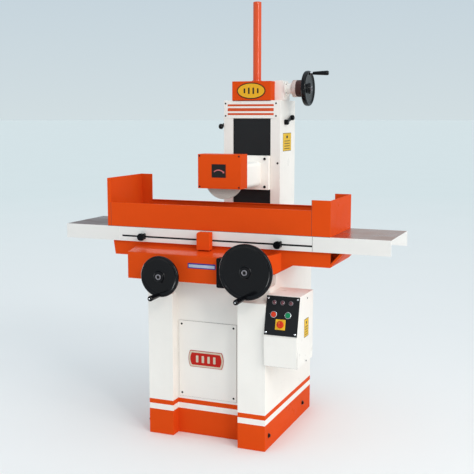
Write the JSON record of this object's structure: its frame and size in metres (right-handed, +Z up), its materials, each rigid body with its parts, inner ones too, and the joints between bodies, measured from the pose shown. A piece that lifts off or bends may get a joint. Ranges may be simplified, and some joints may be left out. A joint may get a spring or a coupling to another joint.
{
  "type": "surface grinder",
  "caption": "Column surface grinder: hollow base, cross saddle, traversing table with splash guard, vertical wheelhead, handwheels and electrical console.",
  "frame": {"origin": "on the floor, on the underside of the base's cross rib, in the middle of the base's width", "axes": "+Z up, -Y towards the operator, +X to the operator's right along the table"},
  "size_m": [1.76, 1.145, 2.262],
  "materials": {
    "orange_paint": "semi-gloss enamel",
    "cream_paint": "semi-gloss enamel",
    "black_paint": "gloss enamel",
    "black_plastic": "gloss",
    "ground_steel": "ground",
    "cast_iron": "machined",
    "pale_grey_paint": "satin",
    "bronze": "machined",
    "abrasive": "open-grained vitrified abrasive",
    "yellow_enamel": "enamel",
    "yellow_plastic": "satin",
    "red_enamel": "enamel",
    "red_plastic": "gloss",
    "green_plastic": "gloss",
    "lamp_plastic": "clear cap over a metal rim"
  },
  "bodies": {
    "frame": {"base_casting": "cream_paint", "front_door_cover": "cream_paint", "door_badge": "red_enamel", "electrical_box": "cream_paint", "box_cover_plate": "cream_paint", "console_panel": "black_plastic", "indicator_lamp_1": "lamp_plastic", "indicator_lamp_2": "lamp_plastic", "indicator_lamp_3": "lamp_plastic", "main_switch_plate": "yellow_plastic", "column": "cream_paint", "column_nameplate": "cream_paint", "column_cap": "orange_paint", "cap_emblem": "yellow_enamel", "screw_cover_tube": "orange_paint", "bevel_gearbox": "cream_paint", "cross_feed_nut": "bronze"},
    "saddle": {"saddle": "orange_paint", "stop_bracket": "orange_paint", "traverse_gearbox": "black_paint", "cross_bearing": "cast_iron"},
    "table": {"table": "pale_grey_paint", "table_rack": "ground_steel", "left_tray": "pale_grey_paint", "right_tray": "pale_grey_paint", "stop_dog_left": "black_paint", "stop_dog_right": "black_paint", "splash_guard_left": "orange_paint", "splash_guard_front": "orange_paint", "splash_guard_back": "orange_paint", "splash_guard_right": "orange_paint"},
    "traverse_wheel": {"traverse_shaft": "ground_steel", "traverse_handwheel": "black_paint"},
    "traverse_grip": {"traverse_handle": "black_plastic"},
    "cross_wheel": {"cross_feed_screw": "ground_steel", "cross_handwheel": "black_paint"},
    "cross_grip": {"cross_handle": "black_plastic"},
    "head": {"head_slide": "cream_paint", "spindle_housing": "cream_paint", "upper_way_cover": "black_paint", "lower_way_cover": "black_paint", "elevating_screw": "ground_steel", "motor_stator": "cast_iron", "front_bearing": "ground_steel", "rear_bearing": "ground_steel", "wheel_guard": "orange_paint", "wheel_guard_cover": "orange_paint"},
    "spindle": {"spindle": "ground_steel", "wheel_flange": "ground_steel", "grinding_wheel": "abrasive"},
    "elevating_wheel": {"elevating_shaft": "ground_steel", "elevating_handwheel": "black_paint"},
    "elevating_grip": {"elevating_handle": "black_plastic"},
    "elevating_gear": {"elevating_nut_gear": "bronze"},
    "stop_push": {"stop_button": "red_plastic"},
    "start_push": {"start_button": "green_plastic"},
    "main_switch": {"main_switch_knob": "red_plastic"},
    "clamp_right": {"clamp_lever_right": "black_plastic"},
    "clamp_left": {"clamp_lever_left": "black_plastic"}
  },
  "joints": [
    {"name": "cross_slide", "type": "slide", "parent": "frame", "child": "saddle", "axis": [0, 1, 0], "range_m": [-0.125, 0.125]},
    {"name": "table_slide", "type": "slide", "parent": "saddle", "child": "table", "axis": [1, 0, 0], "range_m": [-0.3, 0.29]},
    {"name": "head_slide", "type": "slide", "parent": "frame", "child": "head", "axis": [0, 0, 1], "range_m": [-0.07, 0.19]},
    {"name": "traverse_turn", "type": "hinge", "parent": "saddle", "child": "traverse_wheel", "pos_m": [0.257, -0.5, 0.908], "axis": [0, 1, 0], "range_deg": [-725, 705]},
    {"name": "traverse_grip_turn", "type": "hinge", "parent": "traverse_wheel", "child": "traverse_grip", "pos_m": [0.257, -0.6, 0.787], "axis": [0, 1, 0], "continuous": true},
    {"name": "cross_turn", "type": "hinge", "parent": "saddle", "child": "cross_wheel", "pos_m": [-0.198, -0.5, 0.856], "axis": [0, 1, 0], "range_deg": [-9050, 9050]},
    {"name": "cross_grip_turn", "type": "hinge", "parent": "cross_wheel", "child": "cross_grip", "pos_m": [-0.198, -0.6, 0.765], "axis": [0, 1, 0], "continuous": true},
    {"name": "spindle_turn", "type": "hinge", "parent": "head", "child": "spindle", "pos_m": [0, -0.21, 1.318], "axis": [0, 1, 0], "continuous": true},
    {"name": "elevating_turn", "type": "hinge", "parent": "frame", "child": "elevating_wheel", "pos_m": [0.25, 0.262, 1.788], "axis": [1, 0, 0], "range_deg": [-17150, 6350]},
    {"name": "elevating_grip_turn", "type": "hinge", "parent": "elevating_wheel", "child": "elevating_grip", "pos_m": [0.35, 0.262, 1.869], "axis": [1, 0, 0], "continuous": true},
    {"name": "elevating_gear_turn", "type": "hinge", "parent": "frame", "child": "elevating_gear", "pos_m": [0, 0.262, 1.75], "axis": [0, 0, 1], "range_deg": [-17150, 6350]},
    {"name": "stop_press", "type": "slide", "parent": "frame", "child": "stop_push", "axis": [0, 0.9725, -0.2328], "range_m": [0, 0.005], "stiffness_N_per_m": 400, "springref_m": -0.002},
    {"name": "start_press", "type": "slide", "parent": "frame", "child": "start_push", "axis": [0, 0.9725, -0.2328], "range_m": [0, 0.005], "stiffness_N_per_m": 400, "springref_m": -0.002},
    {"name": "main_switch_turn", "type": "hinge", "parent": "frame", "child": "main_switch", "pos_m": [0.408, -0.49003, 0.65289], "axis": [0, -0.9725, 0.2328], "range_deg": [0, 90]},
    {"name": "clamp_right_turn", "type": "hinge", "parent": "frame", "child": "clamp_right", "pos_m": [0.17, 0.258, 1.606], "axis": [1, 0, 0], "range_deg": [-30, 30]},
    {"name": "clamp_left_turn", "type": "hinge", "parent": "frame", "child": "clamp_left", "pos_m": [-0.17, 0.258, 1.606], "axis": [1, 0, 0], "range_deg": [-30, 30]}
  ],
  "couplings": [
    {"joint": "traverse_turn", "follows": "table_slide", "rad_per_m": 41.667},
    {"joint": "cross_turn", "follows": "cross_slide", "rad_per_m": 1256.6},
    {"joint": "elevating_gear_turn", "follows": "head_slide", "rad_per_m": -1570.8},
    {"joint": "elevating_turn", "follows": "head_slide", "rad_per_m": -1570.8}
  ]
}
